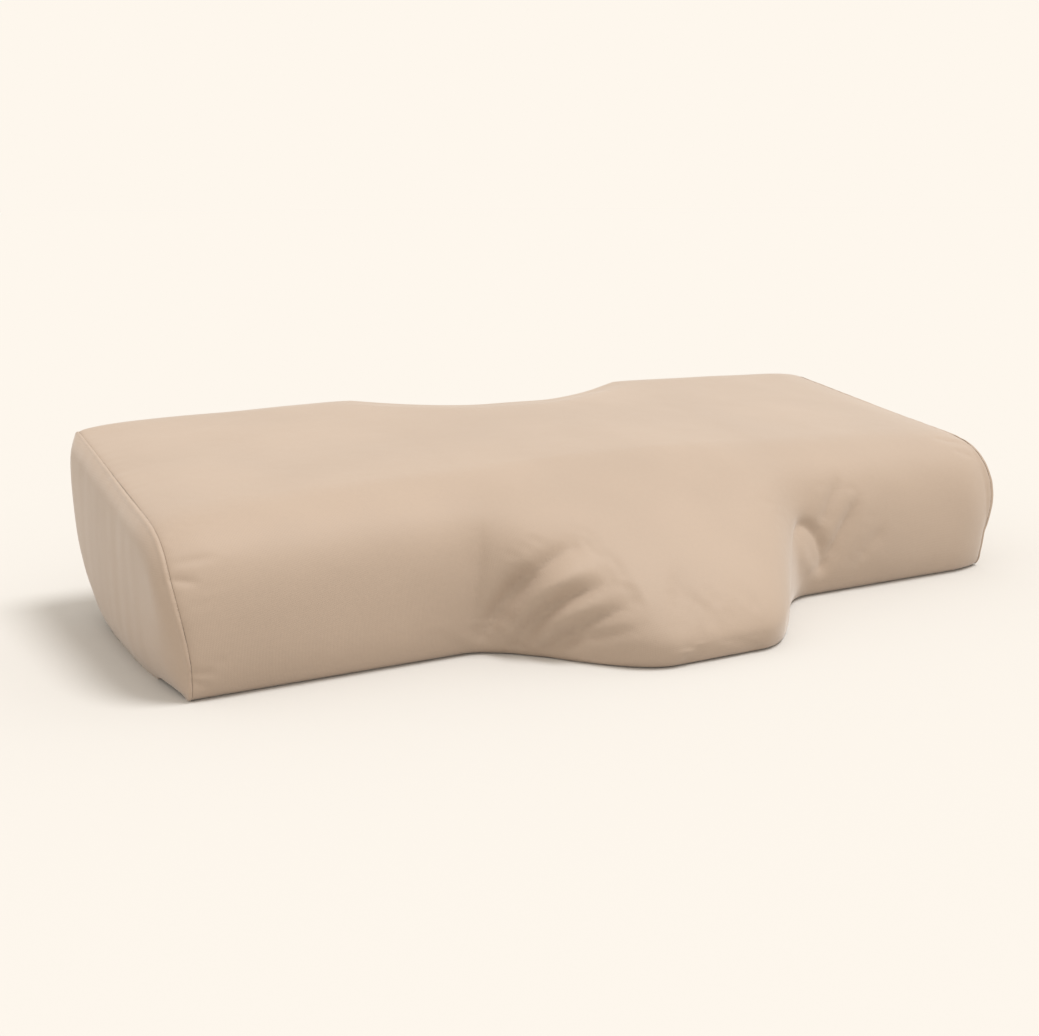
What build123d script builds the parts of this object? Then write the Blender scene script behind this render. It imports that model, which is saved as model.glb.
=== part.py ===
from build123d import *
import math
import os

# Contoured foam cushion in a zipped cover. Millimetres. +X runs along the cushion, -Y is its front,
# +Z is up, and the origin is on the floor under the middle of its bounding box.
os.makedirs("parts", exist_ok=True)

# The cushion's outer form
LENGTH = 600.0  # over the two crowned ends
DEPTH = 295.0  # tip of the tongue to the back
END_CROWN = 8.0  # how far each end panel swells out beyond its seam
TONGUE = 75.5  # how far the tongue stands forward of the wings
TONGUE_FLAT = 35.0  # half-width of the tongue's straight tip
TONGUE_ROOT = 130.0  # half-width of the tongue where it meets the wings
SCOOP = 37.0  # depth of the hollow in the back
SCOOP_FLAT = 20.0  # half-width of the hollow's straight bottom
SCOOP_ROOT = 120.5  # half-width of the hollow's mouth
BACK_HEIGHT = 116.3  # height of the back at the end seams
TOP_CROWN = 5.9  # how much higher the top is in mid-length
TOP_DIP = 3.7  # how much of that is lost over the hollow in the back
TOP_SLOPE = 0.15  # fall of the top, back to front
HIP = 58.5  # distance from the wings' front back to where the top turns down
FOOT = 0.5  # the outline runs this far below the flat underside before it is cut off
STATIONS = 12  # outlines drawn between mid-length and each end seam
UNDERCUT = 7.7  # how far the front draws back where it meets the floor
BACK_TOP_RADIUS = 4.7
BACK_FOOT_RADIUS = 26.5

BACK_Y = DEPTH / 2
WING_Y = TONGUE - DEPTH / 2
SEAM_X = LENGTH / 2 - END_CROWN

# Layers, each measured inwards from the cover's outer surface
COVER = 0.8
LINER_OUT = 1.1
LINER_IN = 1.7
CORE = 2.0
LINER_SEAM_X = SEAM_X - 2.0
SEAM_GAP = 0.35  # half-width of the slit that a seam's thread fills
THREAD_OUT = 0.2
THREAD_IN = 0.6
THREAD_HALF = 0.25

# The zip lies in a shallow channel in the underside
ZIP_Y = WING_Y + 30.0
CHANNEL_DEPTH = 3.0
CHANNEL_HALF = 15.0
CHANNEL_FLARE = 2.0  # sideways run of the channel's walls for each millimetre down
CORE_ROOM = 3.0  # free height that the foam leaves over the zip
SLOT_HALF = 5.0  # half-width of the slot between the two folded edges of the cover
SLOT_X = 284.0
TAPE_Z = CHANNEL_DEPTH + COVER
TAPE_THICK = 0.6
TAPE_WIDTH = 11.4
COIL_GAP = 0.3  # from the zip's middle line to the inner face of a coil
COIL_WIDTH = 2.3
COIL_HIGH = 2.0
STOP_X = 274.2  # inner face of the top stops
STOP_LONG = 2.8
COIL_END_X = 276.0
CLEAR = 0.2  # running clearance round the slider

SLIDER_HALF = 5.0
PLATE = 1.0
PLATE_HALF = 4.0
LIP_WIDTH = 0.7
BRIDGE_HALF = 0.8
BRIDGE_Z = 0.2
BRIDGE_THICK = 0.5
BRIDGE_POST = 0.8
TAB_THICK = 0.9
TAB_LONG = 24.0
TAB_HALF = 2.5
EYE_LONG = 4.6
EYE_HALF = 1.1

COIL_Z = TAPE_Z + TAPE_THICK / 2
SLIDER_X = CLEAR + SLIDER_HALF - STOP_X  # closed: against the top stops
OUTER_PLATE_Z = COIL_Z - COIL_HIGH / 2 - 0.1 - PLATE
INNER_PLATE_Z = COIL_Z + COIL_HIGH / 2 + CLEAR
PIVOT_Z = BRIDGE_Z + BRIDGE_THICK + CLEAR + TAB_THICK / 2

LABEL_LONG = 50.0
LABEL_HIGH = 35.0
LABEL_Z = 40.0


def ramp(x, inner, outer):
    """1 where |x| is below inner, 0 beyond outer, and half a cosine wave between."""
    t = min(max((abs(x) - inner) / (outer - inner), 0.0), 1.0)
    return 0.5 * (1 + math.cos(math.pi * t))


def mix(low, high, share):
    return low + (high - low) * share


def outline(x, inset, place=None, shrink=1.0):
    """Closed outline across the cushion at x, inset from the cover's outer surface.

    It is drawn at place if that is given, and shrunk about the middle of the end.
    """
    tongue = ramp(x, TONGUE_FLAT, TONGUE_ROOT)
    scoop = ramp(x, SCOOP_FLAT, SCOOP_ROOT)
    back = BACK_Y - SCOOP * scoop
    top = BACK_HEIGHT + TOP_CROWN * (1 - (x / SEAM_X) ** 2) - TOP_DIP * scoop - inset
    front = WING_Y - TONGUE * tongue + inset
    hip = WING_Y + HIP
    hip_z = top - TOP_SLOPE * (back - hip)
    nose_z = mix(29.0, 22.0, tongue)
    floor = inset - FOOT

    slope = math.atan(TOP_SLOPE)
    edge_y = back - inset
    arc_z = top - TOP_SLOPE * (inset + BACK_TOP_RADIUS) - BACK_TOP_RADIUS
    top_back = (
        edge_y - BACK_TOP_RADIUS * (1 + math.sin(slope)),
        arc_z + BACK_TOP_RADIUS * math.cos(slope),
    )
    top_mid = (
        edge_y - BACK_TOP_RADIUS * (1 - math.cos(math.pi / 4)),
        arc_z + BACK_TOP_RADIUS * math.sin(math.pi / 4),
    )
    foot_mid = (
        edge_y - BACK_FOOT_RADIUS * (1 - math.cos(math.pi / 4)),
        floor + BACK_FOOT_RADIUS * (1 - math.sin(math.pi / 4)),
    )
    reach = mix(0.6, 0.25, tongue) * (hip - front)
    rise = mix(0.6, 0.18, tongue) * (hip_z - nose_z)
    middle = ((WING_Y + BACK_Y) / 2, BACK_HEIGHT / 2)
    at = x if place is None else place

    def point(y, z):
        return (at, mix(middle[0], y, shrink), mix(middle[1], z, shrink))

    front_foot = point(front + UNDERCUT, floor)
    back_foot = point(edge_y - BACK_FOOT_RADIUS, floor)
    back_low = point(edge_y, floor + BACK_FOOT_RADIUS)
    back_high = point(edge_y, arc_z)
    nose = point(front, nose_z)
    return Wire(
        [
            Line(front_foot, back_foot).edge(),
            ThreePointArc(back_foot, point(*foot_mid), back_low).edge(),
            Line(back_low, back_high).edge(),
            ThreePointArc(back_high, point(*top_mid), point(*top_back)).edge(),
            Line(point(*top_back), point(hip, hip_z)).edge(),
            Bezier(
                point(hip, hip_z),
                point(hip - reach, hip_z - TOP_SLOPE * reach),
                point(front, nose_z + rise),
                nose,
            ).edge(),
            Bezier(
                nose,
                point(front, nose_z * 0.4),
                point(front + UNDERCUT * 0.4, floor),
                front_foot,
            ).edge(),
        ]
    )


def stations(inset):
    """Evenly spaced places along the cushion where its outline is drawn."""
    end = SEAM_X - inset
    return [end * i / STATIONS for i in range(-STATIONS, STATIONS + 1)]


def crowned_end(inset, side):
    """The swelling between an end seam and the tip of the end."""
    seam = side * (SEAM_X - inset)
    rings = [outline(seam, inset)]
    for out, shrink in ((0.6 * END_CROWN, 0.965), (END_CROWN, 0.85)):
        rings.append(outline(seam, inset, seam + side * out, shrink))
    return Solid.make_loft(rings, ruled=True)


def slab(x_range, y_range, z_range):
    """Box between the given limits."""
    sizes = [high - low for low, high in (x_range, y_range, z_range)]
    centre = [(high + low) / 2 for low, high in (x_range, y_range, z_range)]
    return Pos(*centre) * Box(*sizes)


def channel(offset):
    """Prism of the zip's channel, grown by offset into the cushion."""
    top = CHANNEL_DEPTH + offset
    half = CHANNEL_HALF + offset * (math.hypot(1, CHANNEL_FLARE) - CHANNEL_FLARE)
    mouth = half + CHANNEL_FLARE * (top + 1)
    corners = [(mouth, -1), (half, top), (-half, top), (-mouth, -1)]
    face = Face(Polyline(*[(-LENGTH, ZIP_Y + y, z) for y, z in corners], close=True).wire())
    return Solid.extrude(face, Vector(2 * LENGTH, 0, 0))


def filled(inset, channel_offset):
    """Solid inside the surface that lies inset from the cover's outer surface."""
    body = Solid.make_loft([outline(x, inset) for x in stations(inset)])
    whole = Part() + body + crowned_end(inset, -1) + crowned_end(inset, 1)
    below = slab((-LENGTH, LENGTH), (-DEPTH, DEPTH), (-10, inset))
    return whole - below - channel(channel_offset)


def between(shell, low, high):
    """The part of shell whose X lies between low and high."""
    return shell & slab((low, high), (-DEPTH, DEPTH), (-5, 2 * BACK_HEIGHT))


def panels(shell, seam_x):
    """A layer's wrap and its left and right end panels, parted by the slits of the end seams."""
    inner = seam_x - SEAM_GAP
    outer = seam_x + SEAM_GAP
    wrap = between(shell, -inner, inner)
    return wrap, between(shell, -LENGTH, -outer), between(shell, outer, LENGTH)


def seam_thread(outer, inner, seam_x):
    """Closed ring of thread that lies in an end seam, between two surfaces of a layer."""
    return between(outer - inner, seam_x - THREAD_HALF, seam_x + THREAD_HALF)


def zip_tape(side):
    near = COIL_GAP + COIL_WIDTH
    y_range = sorted(ZIP_Y + side * y for y in (near, near + TAPE_WIDTH))
    return slab((0.1 - SEAM_X, SEAM_X - 0.1), y_range, (TAPE_Z, TAPE_Z + TAPE_THICK))


def zip_coil(side):
    y_range = sorted(ZIP_Y + side * y for y in (COIL_GAP, COIL_GAP + COIL_WIDTH))
    high = COIL_HIGH / 2
    return slab((CLEAR - STOP_X, COIL_END_X), y_range, (COIL_Z - high, COIL_Z + high))


def zip_stitching(side):
    """Thread on both faces of the seam that holds a tape to the cover's folded edge."""
    y_range = sorted(ZIP_Y + side * y for y in (7.8, 8.2))
    under = slab((2 - SEAM_X, SEAM_X - 2), y_range, (CHANNEL_DEPTH - 0.25, CHANNEL_DEPTH))
    top = TAPE_Z + TAPE_THICK
    return under + slab((2 - SEAM_X, SEAM_X - 2), y_range, (top, top + 0.25))


def tape_grip(side, x_range):
    """Room for the tape's edge in a stop that is crimped onto it."""
    y_range = sorted(ZIP_Y + side * y for y in (COIL_GAP + COIL_WIDTH - 0.05, 2 * PLATE_HALF))
    return slab(x_range, y_range, (TAPE_Z - 0.05, TAPE_Z + TAPE_THICK + 0.05))


def stop_block(x_range, y_range):
    high = COIL_HIGH / 2 + CLEAR
    block = slab(x_range, y_range, (COIL_Z - high, COIL_Z + high))
    return fillet(block.edges().filter_by(Axis.X), 0.35)


def zip_top_stop(side):
    """Metal clip at the closed end of one coil."""
    x_range = (-STOP_X - STOP_LONG, -STOP_X)
    y_range = sorted(ZIP_Y + side * y for y in (CLEAR, COIL_GAP + COIL_WIDTH + 0.5))
    return stop_block(x_range, y_range) - tape_grip(side, x_range)


def zip_bottom_stop():
    """Metal clip that joins both coils at the open end."""
    x_range = (COIL_END_X, COIL_END_X + STOP_LONG)
    reach = COIL_GAP + COIL_WIDTH + 0.5
    block = stop_block(x_range, (ZIP_Y - reach, ZIP_Y + reach))
    return block - tape_grip(-1, x_range) - tape_grip(1, x_range)


def slider_plate(z):
    """Plate of the slider with rounded corners."""
    plate = slab(
        (SLIDER_X - SLIDER_HALF, SLIDER_X + SLIDER_HALF),
        (ZIP_Y - PLATE_HALF, ZIP_Y + PLATE_HALF),
        (z, z + PLATE),
    )
    return fillet(plate.edges().filter_by(Axis.Z), 2.0)


def slider_lips(z_low, z_high):
    """Two side lips of a slider plate, which keep the coils between the plates."""
    x_range = (SLIDER_X - SLIDER_HALF + 2, SLIDER_X + SLIDER_HALF - 2)
    right = slab(x_range, (ZIP_Y + PLATE_HALF - LIP_WIDTH, ZIP_Y + PLATE_HALF), (z_low, z_high))
    left = slab(x_range, (ZIP_Y - PLATE_HALF, ZIP_Y - PLATE_HALF + LIP_WIDTH), (z_low, z_high))
    return right + left


def slider_bridge():
    """Loop under the outer plate that holds the pull tab's crossbar."""
    half = SLIDER_HALF - 1.1
    y_range = (ZIP_Y - BRIDGE_HALF, ZIP_Y + BRIDGE_HALF)
    loop = slab((SLIDER_X - half, SLIDER_X + half), y_range, (BRIDGE_Z, OUTER_PLATE_Z))
    inside = half - BRIDGE_POST
    return loop - slab(
        (SLIDER_X - inside, SLIDER_X + inside), y_range, (BRIDGE_Z + BRIDGE_THICK, OUTER_PLATE_Z)
    )


def zip_slider_body():
    divider = slab(
        (SLIDER_X - SLIDER_HALF + 1, SLIDER_X - SLIDER_HALF + 4),
        (ZIP_Y - CLEAR, ZIP_Y + CLEAR),
        (OUTER_PLATE_Z + PLATE, INNER_PLATE_Z),
    )
    body = slider_plate(OUTER_PLATE_Z) + slider_plate(INNER_PLATE_Z) + divider
    body += slider_lips(OUTER_PLATE_Z + PLATE, TAPE_Z - CLEAR)
    body += slider_lips(TAPE_Z + TAPE_THICK + CLEAR, INNER_PLATE_Z)
    return body + slider_bridge()


def zip_pull_tab():
    """Flat tab with an eye; the crossbar at the eye's end turns inside the slider's bridge."""
    z_range = (PIVOT_Z - TAB_THICK / 2, PIVOT_Z + TAB_THICK / 2)
    plate = slab((SLIDER_X, SLIDER_X + TAB_LONG), (ZIP_Y - TAB_HALF, ZIP_Y + TAB_HALF), z_range)
    far = plate.edges().filter_by(Axis.Z).group_by(Axis.X)[-1]
    plate = fillet(far, TAB_HALF - 0.2)
    eye = slab((SLIDER_X - 1, SLIDER_X + EYE_LONG), (ZIP_Y - EYE_HALF, ZIP_Y + EYE_HALF), z_range)
    crossbar = Pos(SLIDER_X, ZIP_Y, PIVOT_Z) * Rot(90, 0, 0) * Cylinder(TAB_THICK / 2, 2 * TAB_HALF)
    return plate - eye + crossbar


def care_label():
    """Blank woven label caught in the right end seam, flat between cover and liner."""
    right = SEAM_X - 1
    middle = (COVER + LINER_OUT) / 2
    y_range = (BACK_Y - middle - 0.075, BACK_Y - middle + 0.075)
    return slab((right - LABEL_LONG, right), y_range, (LABEL_Z, LABEL_Z + LABEL_HIGH))


def soft_nodes():
    """Foam core, liner and cover, from the inside out."""
    cover_out = filled(0, 0)
    cover_in = filled(COVER, COVER)
    room = COVER + CORE_ROOM
    liner_thick = LINER_IN - LINER_OUT
    liner_out = filled(LINER_OUT, room)
    liner_in = filled(LINER_IN, room + liner_thick)

    cover = cover_out - cover_in
    slot_y = (ZIP_Y - SLOT_HALF, ZIP_Y + SLOT_HALF)
    cover -= slab((-SLOT_X, SLOT_X), slot_y, (0, CHANNEL_DEPTH + 2))
    wrap, left, right = panels(cover, SEAM_X)
    liner_wrap, liner_left, liner_right = panels(liner_out - liner_in, LINER_SEAM_X)
    thread_out = filled(THREAD_OUT, THREAD_OUT)
    thread_in = filled(THREAD_IN, THREAD_IN)
    liner_thread_out = filled(LINER_OUT + 0.1, room + 0.1)
    liner_thread_in = filled(LINER_IN - 0.1, room + liner_thick - 0.1)
    return {
        "foam_core": filled(CORE, room + liner_thick + 0.3),
        "liner_wrap": liner_wrap,
        "liner_left_end": liner_left,
        "liner_right_end": liner_right,
        "liner_left_seam_thread": seam_thread(liner_thread_out, liner_thread_in, -LINER_SEAM_X),
        "liner_right_seam_thread": seam_thread(liner_thread_out, liner_thread_in, LINER_SEAM_X),
        "cover_wrap_panel": wrap,
        "cover_left_end_panel": left,
        "cover_right_end_panel": right,
        "left_end_seam_thread": seam_thread(thread_out, thread_in, -SEAM_X),
        "right_end_seam_thread": seam_thread(thread_out, thread_in, SEAM_X),
        "care_label": care_label(),
    }


def zip_nodes():
    """The zip, which parts the cover along its underside."""
    nodes = {
        "zip_slider_body": zip_slider_body(),
        "zip_pull_tab": zip_pull_tab(),
        "zip_bottom_stop": zip_bottom_stop(),
    }
    for name, side in (("front", -1), ("rear", 1)):
        nodes["zip_tape_" + name] = zip_tape(side)
        nodes["zip_coil_" + name] = zip_coil(side)
        nodes["zip_stitching_" + name] = zip_stitching(side)
        nodes["zip_top_stop_" + name] = zip_top_stop(side)
    return nodes


for node, solid in {**soft_nodes(), **zip_nodes()}.items():
    export_step(solid, f"parts/{node}.step")
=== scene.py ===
import math

import bmesh
import bpy
import numpy as np
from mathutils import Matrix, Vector


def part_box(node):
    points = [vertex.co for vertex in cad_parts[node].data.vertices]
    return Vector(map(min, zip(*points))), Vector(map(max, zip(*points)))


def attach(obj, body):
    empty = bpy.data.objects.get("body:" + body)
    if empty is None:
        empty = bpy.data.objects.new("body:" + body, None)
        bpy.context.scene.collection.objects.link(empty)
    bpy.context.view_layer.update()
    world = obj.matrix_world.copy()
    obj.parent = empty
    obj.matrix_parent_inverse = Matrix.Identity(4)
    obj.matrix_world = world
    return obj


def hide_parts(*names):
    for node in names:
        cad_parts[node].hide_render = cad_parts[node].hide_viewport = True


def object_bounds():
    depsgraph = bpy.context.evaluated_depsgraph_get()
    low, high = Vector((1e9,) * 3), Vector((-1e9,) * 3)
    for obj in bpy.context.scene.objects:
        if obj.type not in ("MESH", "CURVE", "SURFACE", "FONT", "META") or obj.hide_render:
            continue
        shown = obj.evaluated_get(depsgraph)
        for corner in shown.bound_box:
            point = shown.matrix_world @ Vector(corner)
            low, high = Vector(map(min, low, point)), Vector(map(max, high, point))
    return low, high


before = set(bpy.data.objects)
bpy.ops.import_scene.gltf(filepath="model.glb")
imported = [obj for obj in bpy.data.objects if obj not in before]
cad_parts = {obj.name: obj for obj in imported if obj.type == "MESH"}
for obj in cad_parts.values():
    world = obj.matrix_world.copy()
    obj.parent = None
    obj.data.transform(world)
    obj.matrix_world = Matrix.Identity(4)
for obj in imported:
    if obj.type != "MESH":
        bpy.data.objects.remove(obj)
CAD_BOX = [list(place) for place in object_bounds()]

# A wide foam cushion in a zipped cover. Metres. +X runs along it, -Y is its front, z = 0 is the floor.
LOW, HIGH = (Vector(place) for place in CAD_BOX)
BACK_Y = HIGH.y  # the back of the two wings
TIP_Y = LOW.y  # the tip of the tongue
SEAM_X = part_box("zip_tape_rear")[1].x + 0.0001  # the end seams' plane
ZIP_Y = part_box("zip_coil_rear")[0].y - 0.0003
WING_Y = ZIP_Y - 0.030  # the front of the two wings

# The form, as the CAD has it
TONGUE = WING_Y - TIP_Y
TONGUE_FLAT, TONGUE_ROOT = 0.030, 0.129
SCOOP = 0.038
SCOOP_FLAT, SCOOP_ROOT = 0.018, 0.108
BACK_HEIGHT = 0.117
TOP_CROWN = 0.0061
TOP_DIP = 0.0038
TOP_SLOPE = 0.143
HIP = 0.0525
CHANNEL_DEPTH = 0.003
CHANNEL_HALF = 0.015
CHANNEL_FLARE = 2.0
SLOT_HALF = 0.005
SCOOP_SHARP = 0.7  # 0 for a soft shoulder on each side of the hollow in the back, 1 for a sharp one
NOSE_WING, NOSE_TONGUE = 0.023, 0.013  # height of the foremost line
UNDERCUT = 0.0094
FOOT_MIDDLE, FOOT_END = 0.0265, 0.085  # size of the rounded foot of the back
LIP = 0.006  # size of the rounded top edge of the back
REACH_WING, REACH_TONGUE = 0.68, 0.25  # how far the top runs on before it turns down
RISE_WING, RISE_TONGUE = 0.70, 0.21  # how far the front rises before it turns back

# What the end seams do to the form
DROP, DROP_REACH = 0.0020, 0.024  # the wrap is drawn in towards an end seam
SHIFT = 0.0065  # the seams stand in at their front feet
SWELL, SWELL_REACH, SWELL_UNDER = 0.0065, 0.010, 0.021  # the end panels swell out
SWELL_ROUND = 2.2
DOME = 0.0030
TUCK, TUCK_REACH = 0.004, 0.035  # the right wing's front curves back towards its seam
SPREAD = 0.008  # and bellies out at half its height

# What lies under the cover, and the seams
COVER_THICK = 0.0008
LINER_DEPTH, LINER_THICK = 0.0011, 0.0006
CORE_DEPTH = 0.0020
SLOT_END = 0.284
LINER_CHANNEL, CORE_CHANNEL = 0.0068, 0.0077  # height of the zip's channel in each layer
SEAM_GAP = 0.00035
SEAM_LIP = 0.0009
SEAM_DIP = 0.0013
STITCH, STITCH_EVERY = 0.0026, 0.0032
FINE = 0.0021  # spacing of the columns

rng = np.random.default_rng(7)


def ramp(x, inner, outer):
    """1 where |x| is below inner, 0 beyond outer, and half a cosine wave between."""
    t = np.clip((np.abs(x) - inner) / (outer - inner), 0.0, 1.0)
    return 0.5 * (1 + np.cos(np.pi * t))


def bowl(x, inner, outer):
    """As ramp, but a parabola, which meets its outer end at an angle."""
    t = np.clip((np.abs(x) - inner) / (outer - inner), 0.0, 1.0)
    return 1 - t * t


def smooth(low, high, value):
    """0 below low, 1 above high, and a smooth step between."""
    t = np.clip((value - low) / (high - low), 0.0, 1.0)
    return t * t * (3 - 2 * t)


def mix(low, high, share):
    return low + (high - low) * share


def bezier(points, count=60):
    """Points along a Bezier curve with any number of control points."""
    t = np.linspace(0, 1, count)[:, None]
    points = [np.array(p, float)[None] for p in points]
    while len(points) > 1:
        points = [mix(a, b, t) for a, b in zip(points, points[1:])]
    return points[0]


def corner(start, middle, end, fullness):
    """Rounded corner that leaves start and reaches end along the two lines that meet at middle."""
    start, middle, end = (np.array(p, float) for p in (start, middle, end))
    return bezier([start, mix(start, middle, fullness), mix(end, middle, fullness), end])


def spaced(points, count, easing=0.0):
    """count + 1 points spread evenly along a line of points; easing crowds them towards both ends."""
    step = np.linalg.norm(np.diff(points, axis=0), axis=1)
    run = np.r_[0, np.cumsum(step)]
    share = np.linspace(0, 1, count + 1)
    share = share - easing * np.sin(2 * np.pi * share) / (2 * np.pi)
    return np.stack([np.interp(share * run[-1], run, points[:, k]) for k in (0, 1)], 1)


# Rows round the cushion: how many there are on each stretch of its outline
ROWS = {
    "under_rear": 44,
    "back_foot": 16,
    "back": 28,
    "back_top": 10,
    "top": 56,
    "front": 76,
    "front_foot": 18,
    "under_front": 12,
}


def outline(x, slot=0.0):
    """Outline across the cushion at x, from the zip's rear edge round the back to its front edge.

    slot is half the width of the opening that the zip lies in.
    """
    tongue = float(ramp(x, TONGUE_FLAT, TONGUE_ROOT))
    scoop = float(mix(ramp(x, SCOOP_FLAT, SCOOP_ROOT), bowl(x, SCOOP_FLAT, SCOOP_ROOT), SCOOP_SHARP))
    end = float(smooth(0.4 * SEAM_X, SEAM_X, abs(x)))
    back = BACK_Y - SCOOP * scoop
    top = BACK_HEIGHT + TOP_CROWN * (1 - (x / SEAM_X) ** 2) - TOP_DIP * scoop
    front = WING_Y - TONGUE * tongue
    hip = WING_Y + HIP
    hip_z = top - TOP_SLOPE * (back - hip)
    nose_z = mix(NOSE_WING, NOSE_TONGUE, tongue)
    foot = mix(FOOT_MIDDLE, FOOT_END, end)
    lip_z = top - TOP_SLOPE * LIP
    reach = mix(REACH_WING, REACH_TONGUE, tongue) * (hip - front)
    rise = mix(RISE_WING, RISE_TONGUE, tongue) * (hip_z - nose_z)
    slope = np.array([1.0, TOP_SLOPE])
    stretches = {
        "under_rear": np.array([(ZIP_Y + slot, 0), (back - foot, 0)]),
        "back_foot": corner((back - foot, 0), (back, 0), (back, foot), 0.56),
        "back": np.array([(back, foot), (back, lip_z - LIP)]),
        "back_top": corner((back, lip_z - LIP), (back, top), (back - LIP, lip_z), 0.58),
        "top": np.array([(back - LIP, lip_z), (hip, hip_z)]),
        "front": bezier(
            [(hip, hip_z), (hip, hip_z) - reach * slope, (front, nose_z + rise), (front, nose_z)]
        ),
        "front_foot": bezier(
            [(front, nose_z), (front, 0.3 * nose_z), (front + 0.3 * UNDERCUT, 0), (front + UNDERCUT, 0)]
        ),
        "under_front": np.array([(front + UNDERCUT, 0), (ZIP_Y - slot, 0)]),
    }
    rows = [spaced(points, ROWS[name])[:-1] for name, points in stretches.items()]
    return np.concatenate([*rows, stretches["under_front"][-1:]])


def columns(step):
    """Places along the cushion, crowded next to the end seams."""
    near = SEAM_X - SEAM_GAP - np.array([0, 0.3, 0.7, 1.2, 1.9, 2.8, 4.0, 5.6, 7.6]) * 0.001
    count = int(round(2 * near[-1] / step))
    middle = np.linspace(-near[-1], near[-1], count + 1)
    return np.r_[-near, middle[1:-1], near[::-1]]


def normals(points):
    """Outward unit normals of a grid of points, columns by rows."""
    along = np.gradient(points, axis=0)
    across = np.gradient(points, axis=1)
    n = np.cross(across, along)
    return n / np.linalg.norm(n, axis=2, keepdims=True)


def end_drop(points):
    """How far the wrap is drawn in at each point because an end seam pulls on it."""
    inside = SEAM_X - np.abs(points[..., 0])
    off_floor = smooth(0.0, 0.03, points[..., 2])
    return DROP * off_floor * (1 - np.clip(inside / DROP_REACH, 0, 1)) ** 2


def seam_shift(points):
    """How far the end seams stand in from their plane: most at the front foot of each end."""
    low = 1 - smooth(0.012, 0.075, points[..., 2])
    forward = 1 - smooth(WING_Y + 0.004, WING_Y + 0.075, points[..., 1])
    return SHIFT * low * forward * smooth(0.5 * SEAM_X, SEAM_X, np.abs(points[..., 0]))


def spread_out(points):
    """How far the front of the right wing bellies out at its end."""
    forward = 1 - smooth(WING_Y + 0.010, WING_Y + 0.120, points[..., 1])
    middle = smooth(-0.030, 0.055, points[..., 2]) * (1 - 0.7 * smooth(0.05, 0.11, points[..., 2]))
    return SPREAD * forward * middle * smooth(0.7 * SEAM_X, SEAM_X, points[..., 0])


def tuck(points):
    """How far the front of the right wing is drawn back next to its end seam."""
    forward = 1 - smooth(WING_Y, WING_Y + 0.040, points[..., 1])
    low = 1 - smooth(0.0, 0.045, points[..., 2])
    inside = SEAM_X - points[..., 0]
    return TUCK * (1 + low) * forward * (1 - np.clip(inside / TUCK_REACH, 0, 1)) ** 2


def base_surface(step, slot_half=0.0):
    """Grid of points on the cover's outer surface before seams and folds."""
    xs = columns(step)
    points = np.zeros((len(xs), sum(ROWS.values()) + 1, 3))
    for i, x in enumerate(xs):
        points[i, :, 0] = x
        points[i, :, 1:] = outline(x, slot_half * float(ramp(x, SLOT_END - 0.003, SLOT_END)))
    side = np.sign(points[..., 0])
    points[..., 0] -= side * seam_shift(points)
    points[..., 0] += spread_out(points)
    points[..., 1] += tuck(points)
    return points - normals(points) * end_drop(points)[..., None]


def with_channel(points, top, base=0.0):
    """Lifts the underside along the zip, so that the zip lies in a shallow channel."""
    half_top = CHANNEL_HALF + 0.236 * (top - CHANNEL_DEPTH)
    away = np.abs(points[..., 1] - ZIP_Y)
    floor = mix(top, base, smooth(half_top, half_top + CHANNEL_FLARE * (top - base), away))
    lifted = points.copy()
    lifted[..., 2] = np.maximum(points[..., 2], floor)
    return lifted


# Folds of the front. Each is a curve's control points (x, z) in millimetres, from its faint end to its
# root, then height and width; a height below zero is a crease. The first group fans out from the left
# root of the tongue.
FOLDS = [
    ([(-111, 80), (-121, 54), (-122, 16)], -2.4, 4.2),
    ([(-92, 55), (-103, 44), (-117, 12)], -6.5, 5.4),
    ([(-48, 61), (-80, 70), (-98, 50), (-105, 25)], -5.2, 4.0),
    ([(-56, 53), (-82, 51), (-95, 34), (-104, 17)], 4.0, 4.6),
    ([(-50, 47), (-79, 46), (-92, 26), (-100, 7)], -7.0, 3.8),
    ([(-62, 38), (-83, 29), (-94, 9)], 3.4, 4.2),
    ([(-46, 37), (-73, 32), (-87, 6)], -5.0, 3.7),
    ([(-44, 25), (-70, 20), (-85, 7)], -2.8, 3.6),
    # The right root of the tongue
    ([(98, 36), (112, 60), (134, 54), (136, 22)], -4.0, 5.0),
    ([(110, 42), (119, 30), (124, 18)], 2.2, 7.0),
    ([(162, 80), (147, 68), (135, 46)], -3.2, 5.0),
    ([(173, 69), (158, 50), (137, 20)], -4.4, 5.4),
    ([(194, 44), (180, 36), (166, 20)], -1.6, 6.0),
    # Where the left end seam was finished off
    ([(-276, 63), (-291, 66)], -1.3, 2.6),
    ([(-272, 15), (-286, 17)], -1.2, 2.4),
    ([(-273, 6), (-285, 12)], -1.2, 2.4),
]


def fold_relief(points, wanted):
    """Height of the folds at each point of a grid, in metres; wanted says which, from their height."""
    in_front = (points[..., 1] < WING_Y + 0.025).ravel()
    flat = points[..., [0, 2]].reshape(-1, 2)
    relief = np.zeros(len(flat))
    for path, height, width in FOLDS:
        if not wanted(height):
            continue
        line = bezier(np.array(path) * 0.001, 30)
        width = width * 0.001
        near = np.all((flat > line.min(0) - 3 * width) & (flat < line.max(0) + 3 * width), axis=1)
        near &= in_front
        gap = np.linalg.norm(flat[near, None] - line[None], axis=2)
        along = gap.argmin(1) / (len(line) - 1)
        taper = smooth(-0.06, 0.5, along) * (1 - 0.5 * smooth(0.8, 1.0, along))
        sharpness = 2.0 if height > 0 else 1.5
        relief[near] += 0.001 * height * taper * np.exp(-((gap.min(1) / width) ** sharpness))
    return relief.reshape(points.shape[:2])


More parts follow.
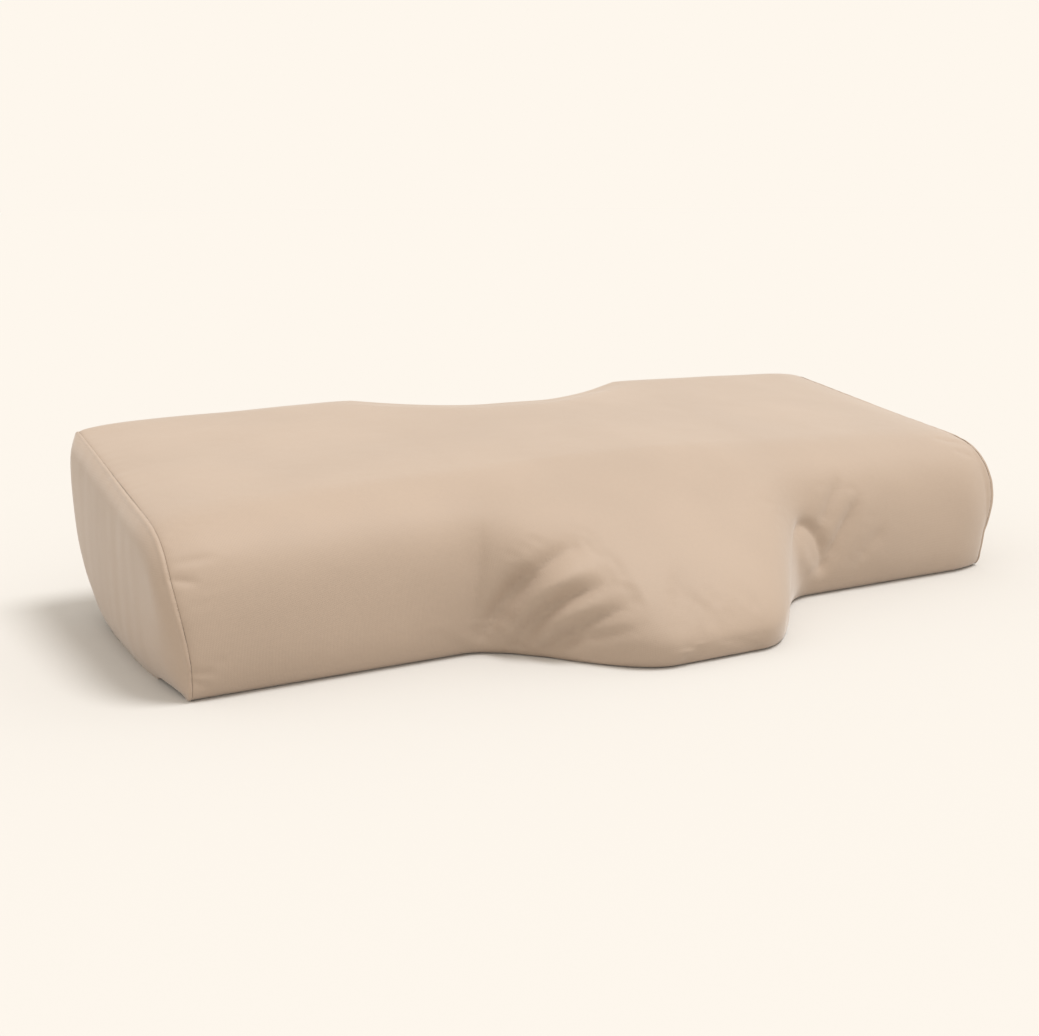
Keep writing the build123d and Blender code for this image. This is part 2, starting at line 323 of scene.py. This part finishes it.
def waves(points, shortest, longest, count):
    """Gentle unevenness between -1 and 1: waves of random direction and length."""
    total = np.zeros(points.shape[:-1])
    for _ in range(count):
        direction = rng.normal(size=3)
        direction /= np.linalg.norm(direction)
        length = rng.uniform(shortest, longest)
        total += np.sin(2 * np.pi * (points @ direction) / length + rng.uniform(0, 2 * np.pi))
    return total / count


def off_floor(points):
    return smooth(0.0005, 0.012, points[..., 2])


# ---------------------------------------------------------------- mesh helpers


def mesh_object(name, points, faces, material, uv=None):
    mesh = bpy.data.meshes.new(name)
    mesh.from_pydata([tuple(p) for p in points], [], faces)
    mesh.polygons.foreach_set("use_smooth", [True] * len(mesh.polygons))
    if uv is not None:
        layer = mesh.uv_layers.new(name="cloth")
        loops = np.zeros(len(mesh.loops), int)
        mesh.loops.foreach_get("vertex_index", loops)
        layer.data.foreach_set("uv", np.asarray(uv)[loops].ravel())
    mesh.materials.append(material)
    piece = bpy.data.objects.new(name, mesh)
    bpy.context.scene.collection.objects.link(piece)
    return piece


def declare(piece, slot, *nodes):
    """Every piece of the cushion rides on it and stands for CAD nodes, which are hidden. slot is not used.
    """
    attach(piece, "cushion")
    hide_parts(*nodes)


def thicken(piece, thickness):
    """Gives a sheet of cloth its thickness, inwards from the surface that was modelled."""
    solidify = piece.modifiers.new("thickness", "SOLIDIFY")
    solidify.thickness = thickness
    solidify.offset = -1


def grid_faces(columns_count, rows_count, closed=False):
    """Quads of a grid of points, columns by rows; closed joins the last row to the first."""
    rows = range(rows_count if closed else rows_count - 1)
    faces = []
    for i in range(columns_count - 1):
        for j in rows:
            over = (j + 1) % rows_count
            here, ahead = i * rows_count, (i + 1) * rows_count
            faces.append((here + j, here + over, ahead + over, ahead + j))
    return faces


def disc_faces(rings, count):
    """Quads between closed rings of points, and triangles from the last ring to one more point."""
    faces = grid_faces(rings, count, closed=True)
    last = (rings - 1) * count
    return faces + [(last + j, last + (j + 1) % count, rings * count) for j in range(count)]


def tube(path, radius, sides=6):
    """Points and faces of a round tube along a line of points, closed at both ends."""
    path = np.asarray(path, float)
    ahead = np.gradient(path, axis=0)
    ahead /= np.linalg.norm(ahead, axis=1, keepdims=True)
    side = np.cross(ahead, np.eye(3)[np.abs(ahead).max(0).argmin()])
    side /= np.linalg.norm(side, axis=1, keepdims=True)
    over = np.cross(side, ahead)
    angle = np.arange(sides) * 2 * math.pi / sides
    ring = np.cos(angle)[None, :, None] * side[:, None] + np.sin(angle)[None, :, None] * over[:, None]
    radius = np.broadcast_to(radius, len(path))[:, None, None]
    points = (path[:, None] + radius * ring).reshape(-1, 3)
    last = (len(path) - 1) * sides
    caps = [tuple(range(sides))[::-1], tuple(last + j for j in range(sides))]
    return points, grid_faces(len(path), sides, closed=True) + caps


def joined(parts):
    """One list of points and one of faces, from several."""
    points, faces, start = [], [], 0
    for part_points, part_faces in parts:
        points.append(part_points)
        faces += [tuple(start + v for v in face) for face in part_faces]
        start += len(part_points)
    return np.concatenate(points), faces


def stitches(line, out, radius, every=STITCH_EVERY, length=STITCH):
    """Row of stitches along a line of points: each arches out of the cloth and dives in again."""
    run = np.r_[0, np.cumsum(np.linalg.norm(np.diff(line, axis=0), axis=1))]
    t = np.array([0.0, 0.12, 0.35, 0.65, 0.88, 1.0])
    arch = 4 * t * (1 - t)
    parts = []
    for start in np.arange(0.5 * every, run[-1] - length, every):
        at = start + t * length
        path = np.stack([np.interp(at, run, line[:, k]) for k in range(3)], 1)
        lift = np.stack([np.interp(at, run, out[:, k]) for k in range(3)], 1)
        path += (1.6 * arch - 1.0)[:, None] * radius * lift
        parts.append(tube(path, radius * np.sqrt(0.3 + 0.7 * arch)))
    return joined(parts)


# ---------------------------------------------------------------- materials


class Nodes:
    """Small helper that builds a material's node tree."""

    def __init__(self, name):
        self.material = bpy.data.materials.new(name)
        self.material.use_nodes = True
        self.tree = self.material.node_tree
        self.shader = self.tree.nodes["Principled BSDF"]

    def add(self, kind, **inputs):
        node = self.tree.nodes.new("ShaderNode" + kind)
        for name, value in inputs.items():
            node.inputs[name].default_value = value
        return node

    def link(self, source, target):
        self.tree.links.new(source, target)

    def coordinates(self, which="Object", scale=(1, 1, 1)):
        place = self.add("TexCoord")
        mapping = self.add("Mapping", Scale=scale)
        self.link(place.outputs[which], mapping.inputs["Vector"])
        return mapping.outputs["Vector"]

    def noise(self, vector, size, detail=2.0):
        """Soft noise whose patches are about size metres across."""
        node = self.add("TexNoise", Scale=1 / size, Detail=detail)
        self.link(vector, node.inputs["Vector"])
        return node.outputs["Fac"]

    def bands(self, vector, period, direction, distortion=0.0):
        """Sine bands, period metres apart."""
        node = self.add("TexWave", Scale=2 * math.pi / (20 * period), Distortion=distortion)
        node.bands_direction = direction
        self.link(vector, node.inputs["Vector"])
        return node.outputs["Fac"]

    def maths(self, operation, first, second):
        node = self.add("Math")
        node.operation = operation
        for socket, value in zip(node.inputs, (first, second)):
            if isinstance(value, (int, float)):
                socket.default_value = value
            else:
                self.link(value, socket)
        return node.outputs[0]

    def colours(self, factor, *stops):
        """Colour ramp through stops of (position, colour)."""
        node = self.add("ValToRGB")
        for element, (position, colour) in zip(node.color_ramp.elements, stops):
            element.position = position
            element.color = (*colour, 1)
        self.link(factor, node.inputs["Fac"])
        return node.outputs["Color"]

    def between(self, factor, low, high):
        node = self.add("MapRange")
        node.inputs["To Min"].default_value = low
        node.inputs["To Max"].default_value = high
        self.link(factor, node.inputs["Value"])
        return node.outputs["Result"]

    def bump(self, height, distance, strength=1.0, under=None):
        node = self.add("Bump", Strength=strength, Distance=distance)
        self.link(height, node.inputs["Height"])
        if under is not None:
            self.link(under, node.inputs["Normal"])
        return node.outputs["Normal"]

    def finish(self, colour, roughness, normal, **sockets):
        self.link(colour, self.shader.inputs["Base Color"])
        self.link(roughness, self.shader.inputs["Roughness"])
        self.link(normal, self.shader.inputs["Normal"])
        for name, value in sockets.items():
            self.shader.inputs[name.replace("_", " ")].default_value = value
        return self.material


def scaled(colour, factor):
    return tuple(min(1.0, c * factor) for c in colour)


def cloth_material(name, colour, rib=0.0008, relief=0.00006, sheen=0.4, roughness=0.6):
    """Fine knit: ribs one way and rows of loops the other, with a soft, clouded unevenness."""
    n = Nodes(name)
    place = n.coordinates()
    weave = n.coordinates("UV")
    knit = n.maths("MULTIPLY", n.bands(weave, rib, "X", 0.4), n.bands(weave, 1.4 * rib, "Y", 0.6))
    clouds = n.noise(place, 0.09)
    grain = n.noise(place, 0.0022)
    tint = n.maths("ADD", n.maths("MULTIPLY", clouds, 0.75), n.maths("MULTIPLY", grain, 0.25))
    soft = n.bump(n.noise(place, 0.022, 3.0), 0.0012, 0.3)
    return n.finish(
        n.colours(tint, (0.38, scaled(colour, 0.97)), (0.62, scaled(colour, 1.03))),
        n.between(grain, roughness - 0.06, roughness + 0.06),
        n.bump(knit, relief, 0.8, soft),
        Sheen_Weight=sheen,
        Sheen_Roughness=0.4,
        Specular_IOR_Level=0.35,
    )


def thread_material(name, colour):
    """Twisted thread: slanting strands that catch the light."""
    n = Nodes(name)
    place = n.coordinates()
    twist = n.bands(place, 0.0006, "DIAGONAL", 0.5)
    return n.finish(
        n.colours(twist, (0.2, scaled(colour, 0.82)), (0.8, scaled(colour, 1.08))),
        n.between(n.noise(place, 0.001), 0.45, 0.65),
        n.bump(twist, 0.00008, 0.7),
        Sheen_Weight=0.25,
    )


def foam_material(name, colour):
    """Open-cell foam: pores of two sizes and a slightly yellowed, uneven colour."""
    n = Nodes(name)
    place = n.coordinates()
    pores = n.add("TexVoronoi", Scale=520.0)
    n.link(place, pores.inputs["Vector"])
    large = n.noise(place, 0.007, 4.0)
    return n.finish(
        n.colours(n.noise(place, 0.09), (0.3, scaled(colour, 0.93)), (0.7, colour)),
        n.between(large, 0.82, 0.96),
        n.bump(n.maths("ADD", pores.outputs["Distance"], large), 0.0006, 0.6),
        Subsurface_Weight=0.08,
        Subsurface_Scale=0.003,
    )


def enamel_material(name, colour):
    """Baked enamel on cast zinc: low gloss, a little orange peel, rubbed darker in places."""
    n = Nodes(name)
    place = n.coordinates()
    worn = n.noise(place, 0.004, 4.0)
    return n.finish(
        n.colours(worn, (0.35, scaled(colour, 0.82)), (0.6, colour)),
        n.between(worn, 0.42, 0.30),
        n.bump(n.noise(place, 0.0007), 0.00003, 0.5),
        Metallic=0.25,
        Coat_Weight=0.3,
        Coat_Roughness=0.2,
    )


def nylon_material(name, colour):
    """Drawn nylon: satin and slightly clear, with fine lines along it."""
    n = Nodes(name)
    lines = n.noise(n.coordinates("Object", (1, 4, 4)), 0.0014)
    return n.finish(
        n.colours(lines, (0.3, scaled(colour, 0.9)), (0.7, scaled(colour, 1.05))),
        n.between(lines, 0.28, 0.42),
        n.bump(lines, 0.00003, 0.5),
        Subsurface_Weight=0.15,
        Subsurface_Scale=0.0008,
    )


def floor_material(name, colour):
    """Matt paper, so even that floor and background run into each other."""
    n = Nodes(name)
    grain = n.noise(n.coordinates(), 0.002)
    n.link(n.between(grain, 0.9, 0.97), n.shader.inputs["Roughness"])
    n.link(n.bump(grain, 0.00005, 0.1), n.shader.inputs["Normal"])
    n.shader.inputs["Base Color"].default_value = (*colour, 1)
    n.shader.inputs["Specular IOR Level"].default_value = 0.0
    return n.material


BEIGE = (0.425, 0.329, 0.255)
CLOTH = cloth_material("cover_knit", BEIGE)
LINER_CLOTH = cloth_material("liner_jersey", (0.78, 0.77, 0.73), 0.0009, roughness=0.8, sheen=0.15)
TAPE_CLOTH = cloth_material("zip_tape_weave", scaled(BEIGE, 0.92), 0.0005, 0.0001, sheen=0.1)
LABEL_CLOTH = cloth_material("label_satin", (0.82, 0.82, 0.80), 0.0003, 0.00003, roughness=0.4)
COVER_THREAD = thread_material("cover_thread", scaled(BEIGE, 1.05))
LINER_THREAD = thread_material("liner_thread", (0.84, 0.83, 0.79))
FOAM = foam_material("core_foam", (0.86, 0.82, 0.68))
ENAMEL = enamel_material("zip_enamel", scaled(BEIGE, 0.9))
NYLON = nylon_material("zip_nylon", scaled(BEIGE, 0.95))


# ---------------------------------------------------------------- cloth simulation


def thinned(count, step):
    """Every step-th of count places, with both ends."""
    return np.unique(np.r_[np.arange(0, count, step), count - 1])


def spread(values, at, count, axis):
    """Values known at some places along an axis of a grid, carried over to all count places."""
    values = np.moveaxis(values, axis, 0)
    where = np.clip(np.searchsorted(at, np.arange(count), side="right") - 1, 0, len(at) - 2)
    share = (np.arange(count) - at[where]) / (at[where + 1] - at[where])
    share = share.reshape(-1, *[1] * (values.ndim - 1))
    return np.moveaxis(mix(values[where], values[where + 1], share), 0, axis)


def inflated(points, pressure=4.0, frames=20, limit=0.0016):
    """How the foam's pressure swells the cover: a cloth simulation on a thinned copy.

    The end seams, the zip's edges and the underside are held. Returns how far each point moves.
    """
    i_at, j_at = thinned(points.shape[0], 3), thinned(points.shape[1], 3)
    coarse = points[np.ix_(i_at, j_at)]
    faces = grid_faces(*coarse.shape[:2])
    sheet = mesh_object("simulated", coarse.reshape(-1, 3), faces, CLOTH)
    held = coarse[..., 2] < 0.002
    held[[0, -1]] = True
    held[:, [0, -1]] = True
    group = sheet.vertex_groups.new(name="held")
    group.add([int(v) for v in np.flatnonzero(held.ravel())], 1.0, "REPLACE")
    cloth = sheet.modifiers.new("cloth", "CLOTH").settings
    cloth.use_pressure = True
    cloth.uniform_pressure_force = pressure
    cloth.effector_weights.gravity = 0
    cloth.vertex_group_mass = "held"
    scene = bpy.context.scene
    for step in range(1, frames + 1):
        scene.frame_set(step)
    shown = sheet.evaluated_get(bpy.context.evaluated_depsgraph_get()).data
    moved = np.zeros(coarse.size)
    shown.vertices.foreach_get("co", moved)
    moved = moved.reshape(coarse.shape) - coarse
    bpy.data.objects.remove(sheet)
    scene.frame_set(1)
    moved = spread(moved, j_at, points.shape[1], 1)
    moved = spread(moved, i_at, points.shape[0], 0)
    far = np.maximum(np.linalg.norm(moved, axis=2, keepdims=True), 1e-9)
    return moved * limit * np.tanh(far / limit) / far


# ---------------------------------------------------------------- the cover


BILLOW, BILLOW_LENGTHS = 0.00035, (0.04, 0.10)  # wide, soft unevenness of the cloth
PUCKER, PUCKER_LENGTHS = 0.00030, (0.006, 0.014)  # small puckers along the end seams
PUCKER_REACH, DIP_REACH = 0.008, 0.002


def is_crease(height):
    return height < 0


def is_ridge(height):
    return height > 0


def cover_grid():
    """The wrap's outer surface: form, creases, swelling, folds and puckers at the seams.

    Also returns how far the layers below stand from the plain form: the cover's creases press them in.
    """
    plain = base_surface(FINE, SLOT_HALF)
    out = normals(plain)
    creases = fold_relief(plain, is_crease)
    points = plain + out * creases[..., None]
    points += inflated(points)
    inside = SEAM_X - np.abs(columns(FINE))[:, None]
    relief = fold_relief(points, is_ridge)
    relief += BILLOW * waves(points, *BILLOW_LENGTHS, 8)
    relief += PUCKER * waves(points * (0.1, 1, 1), *PUCKER_LENGTHS, 8) * np.exp(-inside / PUCKER_REACH)
    relief -= SEAM_DIP * np.exp(-inside / DIP_REACH)
    points += out * (relief * off_floor(points))[..., None]
    pressed = np.minimum(((points - plain) * out).sum(2), 0)
    for axis in (0, 1):
        for shift in (-1, 1):
            pressed = np.minimum(pressed, np.roll(pressed, shift, axis))
    return points, pressed


def wrap_uv(points):
    """Each point's place on the flat cloth: along the cushion, and round it."""
    run = np.linalg.norm(np.diff(points, axis=1), axis=2)
    run = np.concatenate([np.zeros((len(points), 1)), np.cumsum(run, axis=1)], axis=1)
    return np.stack([points[..., 0], run], axis=2).reshape(-1, 2)


def make_wrap(cover):
    points = with_channel(cover, CHANNEL_DEPTH)
    faces = grid_faces(*points.shape[:2])
    wrap = mesh_object("cover_wrap", points.reshape(-1, 3), faces, CLOTH, wrap_uv(points))
    thicken(wrap, COVER_THICK)
    declare(wrap, "cover", "cover_wrap_panel")


# Distances from a seam at which an end panel has its first rings of points
UNDER_HEIGHT = 0.05  # below this an end panel curves in more gently towards its foot
ROLL_PLACE, ROLL_WIDTH, ROLL_HOLLOW = 0.0015, 0.0008, 0.0006  # the rolled edge beside an end seam
PULL, PULL_LENGTHS, PULL_REACH = 0.0005, (0.012, 0.03), 0.012  # faint upright pulls over the end panels
END_PUCKER, END_PUCKER_REACH = 0.0004, 0.006
END_BILLOW, END_BILLOW_LENGTHS = 0.0004, (0.05, 0.1)

# Distances from the seam of the rings next to it
NEAR_SEAM = np.array([0, 0.3, 0.7, 1.1, 1.5, 1.9, 2.4, 3.0, 3.8, 5.0, 6.5, 8.5, 11, 14.5, 18.5, 23]) * 0.001


def seam_field(points, ring):
    """Each point's soft distance from an end seam, and the seam's x carried smoothly inwards to it.

    Both come from mean value weights in the (y, z) plane, so neither has a crease.
    """
    to = ring[:, 1:] - points[..., None, 1:]
    after = np.roll(to, -1, -2)
    reach = np.linalg.norm(to, axis=-1)
    cross = to[..., 0] * after[..., 1] - to[..., 1] * after[..., 0]
    half_angle = cross / (reach * np.roll(reach, -1, -1) + (to * after).sum(-1))
    weights = (half_angle + np.roll(half_angle, 1, -1)) / reach
    total = weights.sum(-1)
    return 2 / np.abs(total), (weights * ring[:, 0]).sum(-1) / total


def end_rings(ring, side, lip=0.0):
    """Rings of points from an end seam to the middle of its end panel, which swells outwards.

    lip is how far the panel's rolled edge stands up beside the seam.
    """
    centre = ring.mean(0)
    spoke = centre - ring
    length = np.linalg.norm(spoke, axis=1, keepdims=True)
    depths = [np.full_like(length, d) for d in NEAR_SEAM]
    depths += [mix(NEAR_SEAM[-1], length, t) for t in np.linspace(0, 1, 16)[1:-1]]
    grid = np.array([ring + spoke / length * d for d in depths] + [np.repeat(centre[None], len(ring), 0)])
    away, carried = seam_field(grid[1:], ring)
    reach = mix(SWELL_UNDER, SWELL_REACH, smooth(0.0, UNDER_HEIGHT, grid[1:, :, 2]))
    swell = SWELL * (1 - (1 - np.clip(away / reach, 0, 1)) ** SWELL_ROUND) + DOME * away / away.max()
    grid[1:, :, 0] = carried + side * swell
    tip = grid[-1, 0]
    for points, d in zip(grid, depths):
        rolled = np.exp(-(((d - ROLL_PLACE) / ROLL_WIDTH) ** 2)) - 0.9 * np.exp(-((d / ROLL_HOLLOW) ** 2))
        points -= spoke / length * lip * rolled
    return grid[:-1], tip


def end_relief(grid):
    """Puckers beside the seam and faint upright pulls over an end panel."""
    inside = np.full((len(grid), 1), 1.0)
    inside[: len(NEAR_SEAM), 0] = NEAR_SEAM
    puckers = np.exp(-inside / END_PUCKER_REACH) * waves(grid, *PUCKER_LENGTHS, 8)
    pulls = (1 - np.exp(-inside / PULL_REACH)) * waves(grid * (1, 1, 0.12), *PULL_LENGTHS, 7)
    billows = waves(grid, *END_BILLOW_LENGTHS, 6)
    return END_PUCKER * puckers + PULL * pulls + END_BILLOW * billows


def disc(grid, tip, side):
    """Points and faces of an end panel, facing outwards."""
    faces = disc_faces(*grid.shape[:2])
    if side > 0:
        faces = [face[::-1] for face in faces]
    return np.r_[grid.reshape(-1, 3), tip[None]], faces


ENDS = (("left", -1, 0), ("right", 1, -1))


def make_ends(wrap):
    for name, side, column in ENDS:
        grid, tip = end_rings(wrap[column, :-1], side, SEAM_LIP)  # the last row lies on the first here
        grid[1:, :, 0] += side * end_relief(grid)[1:]
        grid = with_channel(grid, CHANNEL_DEPTH)
        points, faces = disc(grid, tip, side)
        panel = mesh_object(f"cover_end_{name}", points, faces, CLOTH, points[:, 1:])
        thicken(panel, COVER_THICK)
        declare(panel, "cover", f"cover_{name}_end_panel")


def make_seam_stitches(wrap, radius, slot, material, piece_name, node_name):
    """Stitches in the gap of each end seam. Both names have a place for the end's own name."""
    out = normals(wrap)
    for name, side, column in ENDS:
        line = wrap[column] + (side * SEAM_GAP, 0, 0)
        line[:, 2] = np.maximum(line[:, 2], 3 * radius)
        points, faces = stitches(line, out[column], radius)
        seam = mesh_object(piece_name.format(name), points, faces, material)
        declare(seam, slot, node_name.format(name))


# ---------------------------------------------------------------- under the cover


def layer(depth, pressed):
    """Closed outline grid of a layer that lies depth under the cover's surface."""
    points = base_surface(FINE)
    points += normals(points) * (pressed - depth)[..., None]
    points[..., 0] *= 1 - depth / SEAM_X
    return points[thinned(len(points), 2)][:, :-1:2]


def make_liner(pressed):
    ends = layer(LINER_DEPTH, pressed)
    points = with_channel(ends, LINER_CHANNEL, LINER_DEPTH)
    faces = grid_faces(*points.shape[:2], closed=True)
    wrap = mesh_object("liner_wrap_sewn", points.reshape(-1, 3), faces, LINER_CLOTH, wrap_uv(points))
    thicken(wrap, LINER_THICK)
    declare(wrap, "liner", "liner_wrap")
    for name, side, column in ENDS:
        grid, tip = end_rings(ends[column], side)
        grid = with_channel(grid, LINER_CHANNEL, LINER_DEPTH)
        disc_points, faces = disc(grid, tip, side)
        panel = mesh_object(f"liner_end_{name}", disc_points, faces, LINER_CLOTH, disc_points[:, 1:])
        thicken(panel, LINER_THICK)
        declare(panel, "liner", f"liner_{name}_end")
    make_seam_stitches(
        points, 0.00012, "liner_thread", LINER_THREAD, "liner_{}_seam_stitches", "liner_{}_seam_thread"
    )


def make_foam(pressed):
    ends = layer(CORE_DEPTH, pressed)
    points = with_channel(ends, CORE_CHANNEL, CORE_DEPTH)
    parts = [(points.reshape(-1, 3), grid_faces(*points.shape[:2], closed=True))]
    for _, side, column in ENDS:
        grid, tip = end_rings(ends[column], side)
        parts.append(disc(with_channel(grid, CORE_CHANNEL, CORE_DEPTH), tip, side))
    core = mesh_object("foam_core_shaped", *joined(parts), FOAM)
    mesh = bmesh.new()
    mesh.from_mesh(core.data)
    bmesh.ops.remove_doubles(mesh, verts=mesh.verts, dist=1e-6)
    mesh.to_mesh(core.data)
    mesh.free()
    declare(core, "foam", "foam_core")


def make_label():
    """The care label lies between cover and liner at the right end of the back."""
    low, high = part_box("care_label")
    base = base_surface(FINE)
    first = ROWS["under_rear"]
    back = slice(first, first + ROWS["back_foot"] + ROWS["back"])
    z = np.linspace(low.z, high.z, 15)
    grid = []
    for column in base[(base[:, 0, 0] > low.x) & (base[:, 0, 0] < high.x), back]:
        y = np.interp(z, column[:, 2], column[:, 1]) - COVER_THICK - 0.0001
        grid.append(np.stack([0 * z + column[0, 0], y, z], 1))
    points = np.array(grid)
    uv = points[..., [0, 2]].reshape(-1, 2)
    faces = grid_faces(*points.shape[:2])
    label = mesh_object("care_label_woven", points.reshape(-1, 3), faces, LABEL_CLOTH, uv)
    thicken(label, 0.00015)
    declare(label, "label", "care_label")


# ---------------------------------------------------------------- the zip


TAPE_REACH = SEAM_X - 0.005


def make_tapes():
    for name in ("front", "rear"):
        low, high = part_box("zip_tape_" + name)
        x = np.linspace(-TAPE_REACH, TAPE_REACH, 160)
        y = np.linspace(low.y, high.y, 6)
        points = np.stack(np.meshgrid(x, y, [low.z], indexing="ij"), axis=3)[:, :, 0]
        points[..., 2] += 0.00008 * (1 + waves(points, 0.02, 0.06, 5))
        faces = [face[::-1] for face in grid_faces(*points.shape[:2])]
        uv = points[..., :2].reshape(-1, 2)
        tape = mesh_object(f"zip_tape_{name}_woven", points.reshape(-1, 3), faces, TAPE_CLOTH, uv)
        thicken(tape, high.z - low.z - 0.0002)
        declare(tape, "zip_tape", "zip_tape_" + name)


def make_coils(pitch=0.0013, wire=0.0003, per_turn=8):
    """Each tape's row of teeth is one coiled wire; the two coils mesh, half a turn apart."""
    for name, side in (("front", -1), ("rear", 1)):
        low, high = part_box("zip_coil_" + name)
        turns = (high.x - low.x - 2 * wire) / pitch - 0.5
        turn = np.arange(int(turns * per_turn)) / per_turn
        angle = 2 * np.pi * turn
        half = 0.5 * (high - low) - Vector((0, wire, wire))
        centre = 0.5 * (low + high)
        x = low.x + wire + pitch * (turn + (0.5 if side > 0 else 0.0))
        y = centre.y - side * 0.0002 + (half.y + 0.0002) * np.sin(angle)
        z = centre.z + half.z * np.cos(angle)
        points, faces = tube(np.stack([x, y, z], 1), wire, sides=5)
        coil = mesh_object(f"zip_coil_{name}_wire", points, faces, NYLON)
        declare(coil, "zip_coil", "zip_coil_" + name)


def make_zip_stitching():
    """A row of stitches along each tape, seen outside on the cover and inside on the tape."""
    x = np.linspace(-TAPE_REACH, TAPE_REACH, 200)
    for name in ("front", "rear"):
        node = "zip_stitching_" + name
        low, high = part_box(node)
        parts = []
        for z, out in ((CHANNEL_DEPTH, -1.0), (high.z - 0.0002, 1.0)):
            line = np.stack([x, 0 * x + 0.5 * (low.y + high.y), 0 * x + z], 1)
            parts.append(stitches(line, np.zeros_like(line) + (0, 0, out), 0.00018))
        points, faces = joined(parts)
        declare(mesh_object(f"zip_{name}_stitches", points, faces, COVER_THREAD), "cover_thread", node)


def finish_hardware():
    for name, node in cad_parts.items():
        if "slider" in name or "pull" in name or "stop" in name:
            node.data.materials.clear()
            node.data.materials.append(ENAMEL)


# ---------------------------------------------------------------- room, light and camera


CREAM = (0.991, 0.930, 0.847)
SUN_SHARE = 0.58  # what the sun adds to the floor's light; the sky gives the rest
SUN_FROM = Vector((0.32, -0.18, 0.93)).normalized()
SUN_ANGLE = math.radians(22)


def make_stage():
    """A floor whose lit colour is the background's."""
    paper = tuple(c / (c + SUN_SHARE) for c in CREAM)
    mesh = bpy.data.meshes.new("floor")
    half = 30.0
    corners = [(-half, -half, 0), (half, -half, 0), (half, half, 0), (-half, half, 0)]
    mesh.from_pydata(corners, [], [(0, 1, 2, 3)])
    mesh.materials.append(floor_material("floor_paper", paper))
    floor = bpy.data.objects.new("floor", mesh)
    bpy.context.scene.collection.objects.link(floor)


def make_light():
    world = bpy.data.worlds.new("studio")
    bpy.context.scene.world = world
    world.use_nodes = True
    background = world.node_tree.nodes["Background"]
    background.inputs["Color"].default_value = (*CREAM, 1)
    background.inputs["Strength"].default_value = 1.0
    sun = bpy.data.lights.new("key", "SUN")
    sun.energy = SUN_SHARE * math.pi / SUN_FROM.z
    sun.angle = SUN_ANGLE
    key = bpy.data.objects.new("key", sun)
    key.rotation_mode = "QUATERNION"
    key.rotation_quaternion = SUN_FROM.to_track_quat("Z", "Y")
    bpy.context.scene.collection.objects.link(key)


def make_camera():
    camera = bpy.data.objects.new("camera", bpy.data.cameras.new("camera"))
    bpy.context.scene.collection.objects.link(camera)
    camera.data.lens = 48.5
    camera.data.sensor_width = 36
    azimuth, elevation, distance = math.radians(-28.9), math.radians(12.8), 0.977
    target = Vector((-0.0094, 0.078, 0.0396))
    level = Vector((math.sin(azimuth), -math.cos(azimuth), 0))
    back = level * math.cos(elevation) + Vector((0, 0, math.sin(elevation)))
    camera.location = target + distance * back
    camera.rotation_mode = "QUATERNION"
    camera.rotation_quaternion = (-back).to_track_quat("-Z", "Y")
    bpy.context.scene.camera = camera


bpy.context.scene.view_settings.view_transform = "Standard"
make_stage()
make_light()
make_camera()
cover, pressed = cover_grid()
make_wrap(cover)
make_ends(cover)
make_seam_stitches(
    with_channel(cover, CHANNEL_DEPTH),
    0.0002,
    "cover_thread",
    COVER_THREAD,
    "cover_{}_seam_stitches",
    "{}_end_seam_thread",
)
make_label()
make_liner(pressed)
make_foam(pressed)
make_tapes()
make_coils()
make_zip_stitching()
finish_hardware()
